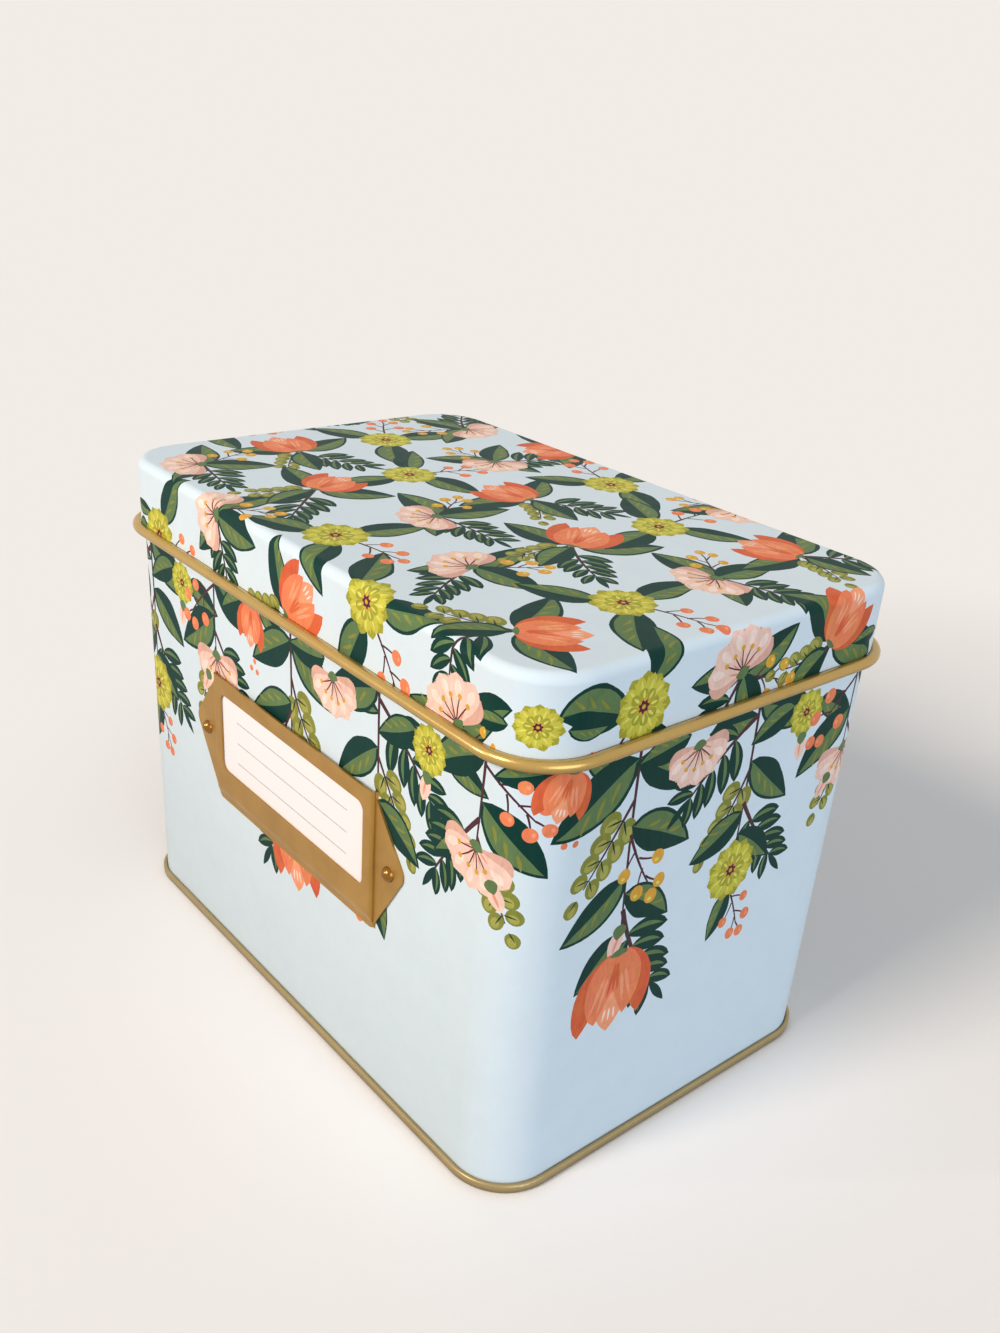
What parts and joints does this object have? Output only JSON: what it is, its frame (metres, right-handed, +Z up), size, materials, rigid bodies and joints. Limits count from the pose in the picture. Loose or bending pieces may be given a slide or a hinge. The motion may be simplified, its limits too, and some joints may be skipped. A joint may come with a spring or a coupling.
{
  "type": "card box",
  "caption": "Hinged tinplate box for recipe or index cards, with a telescoping beaded lid and a pressed label holder on its front.",
  "frame": {"origin": "middle of the footprint, on the surface that the box stands on", "axes": "+X along the length, to the right as seen from the label side; -Y is the front, with the label; +Z up"},
  "size_m": [0.1662, 0.1112, 0.1227],
  "materials": {
    "printed_tinplate": "satin printed tinplate, gold lacquered inside",
    "gold_tinplate": "satin gold lacquer",
    "hinge_steel": "drawn wire",
    "brass_plate": "satin antique brass",
    "label_paper": "matt cream card"
  },
  "bodies": {
    "box": {"body_shell": "printed_tinplate", "base_panel": "gold_tinplate", "hinge_strap_left": "gold_tinplate", "hinge_strap_right": "gold_tinplate", "label_holder": "brass_plate", "label_card": "label_paper", "label_rivets": "brass_plate"},
    "lid": {"lid_shell": "printed_tinplate", "hinge_wire": "hinge_steel"}
  },
  "joints": [
    {"name": "lid_hinge", "type": "hinge", "parent": "box", "child": "lid", "pos_m": [0, 0.05433, 0.1055], "axis": [-1, 0, 0], "range_deg": [0, 110]}
  ]
}
